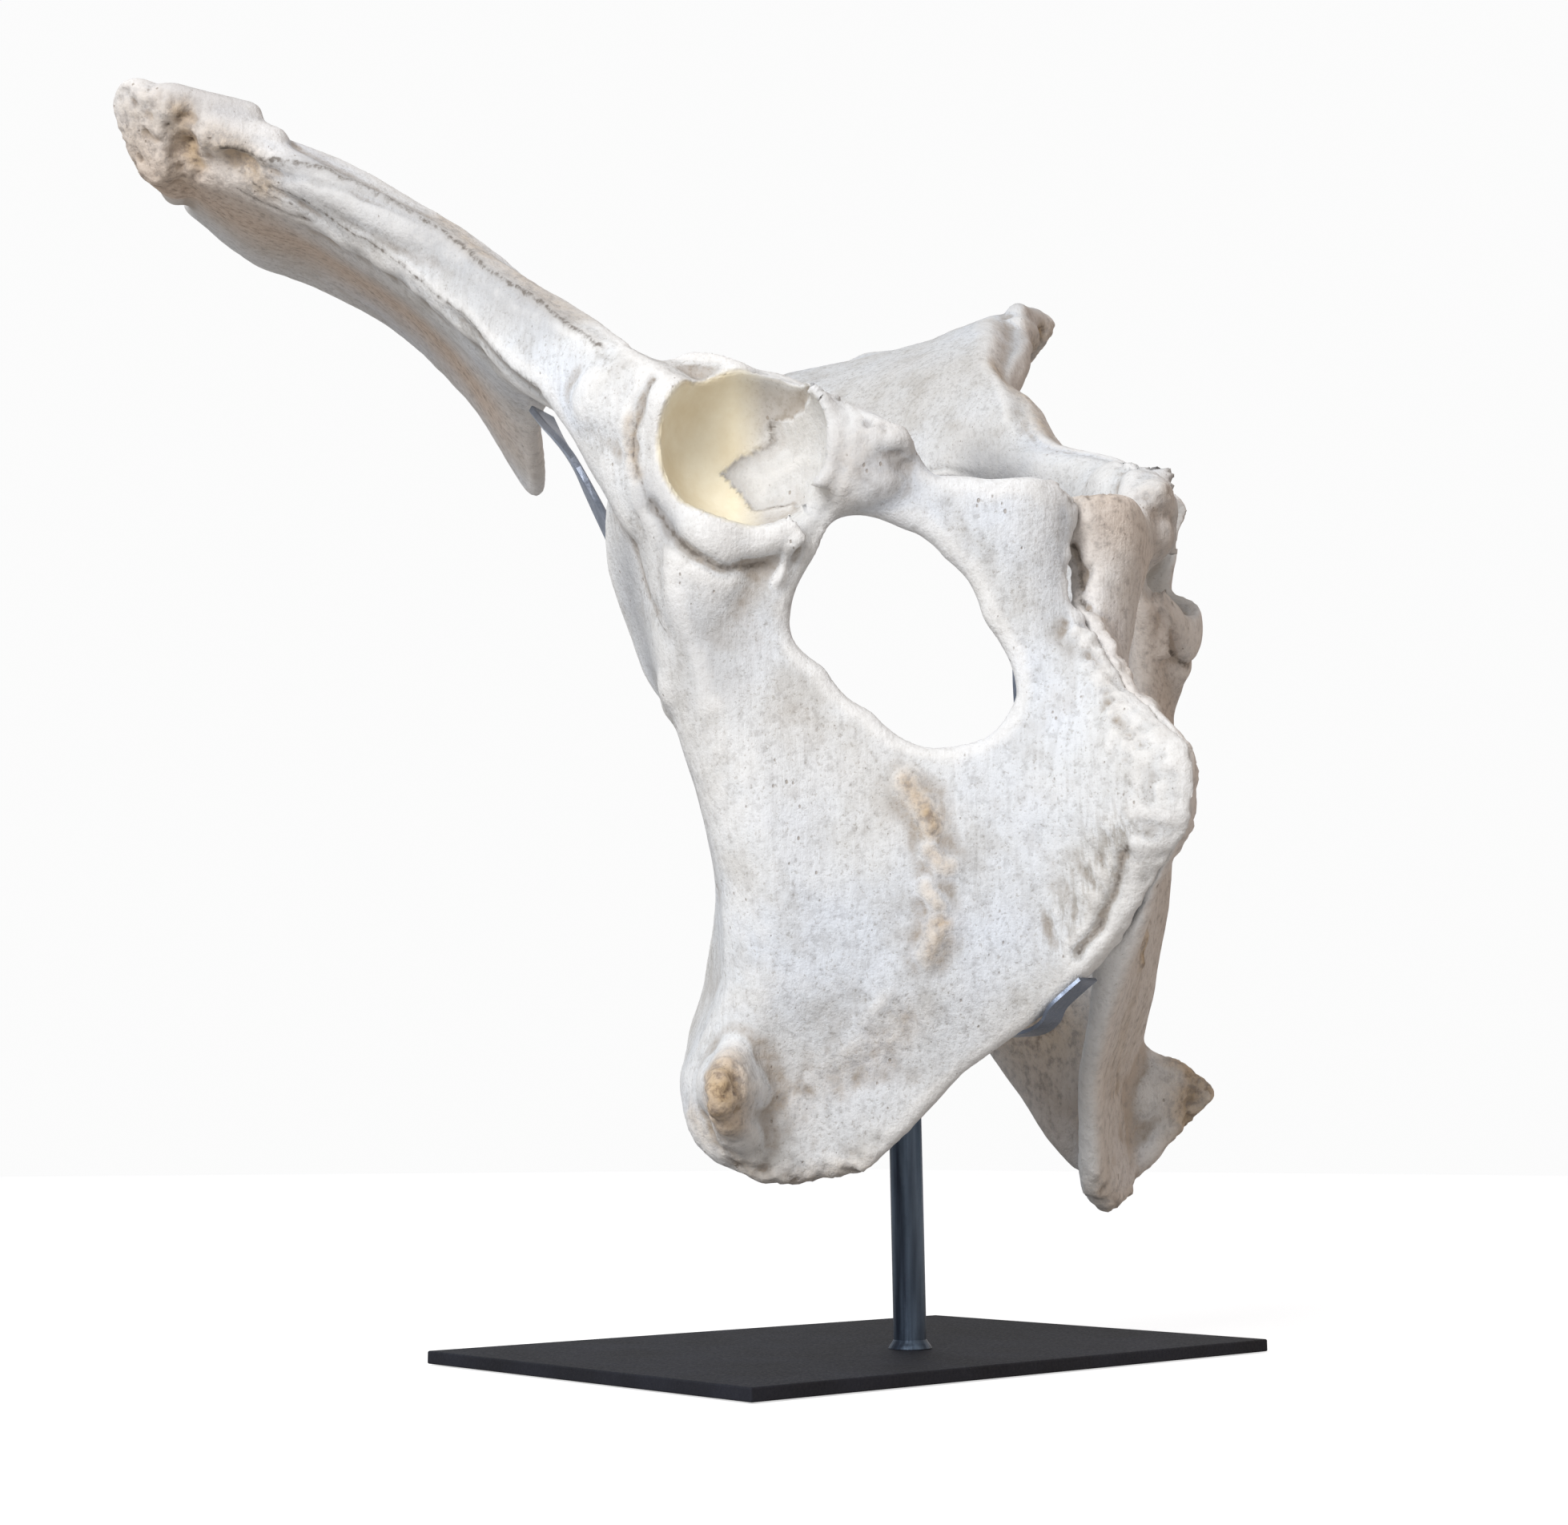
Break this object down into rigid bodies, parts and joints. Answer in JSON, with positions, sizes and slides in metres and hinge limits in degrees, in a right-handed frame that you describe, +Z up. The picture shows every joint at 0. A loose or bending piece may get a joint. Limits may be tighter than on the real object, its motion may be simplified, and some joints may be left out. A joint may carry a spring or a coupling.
{
  "type": "moose pelvis on a display stand",
  "caption": "Bull moose pelvis, both hip bones, standing upright on a bent flat bar and a round upright with a rectangular base plate.",
  "frame": {"origin": "centre of the base plate's underside", "axes": "+Z up, +X along the plate's long side, towards the animal's left; +Y towards the animal's back"},
  "size_m": [0.5227, 0.4534, 0.5322],
  "materials": {
    "dry_bone": "weathered dry bone, matte, cream in the sockets and grey in the hollows",
    "black_plate": "matte black with a fine texture",
    "blued_rod": "dark blue-black, satin",
    "bright_strap": "bluish grey, satin"
  },
  "bodies": {
    "root": {"right_hip_bone": "dry_bone", "left_hip_bone": "dry_bone", "base_plate": "black_plate", "upright_rod": "blued_rod", "ilium_cradle": "bright_strap", "ischium_clip": "bright_strap"}
  },
  "joints": []
}
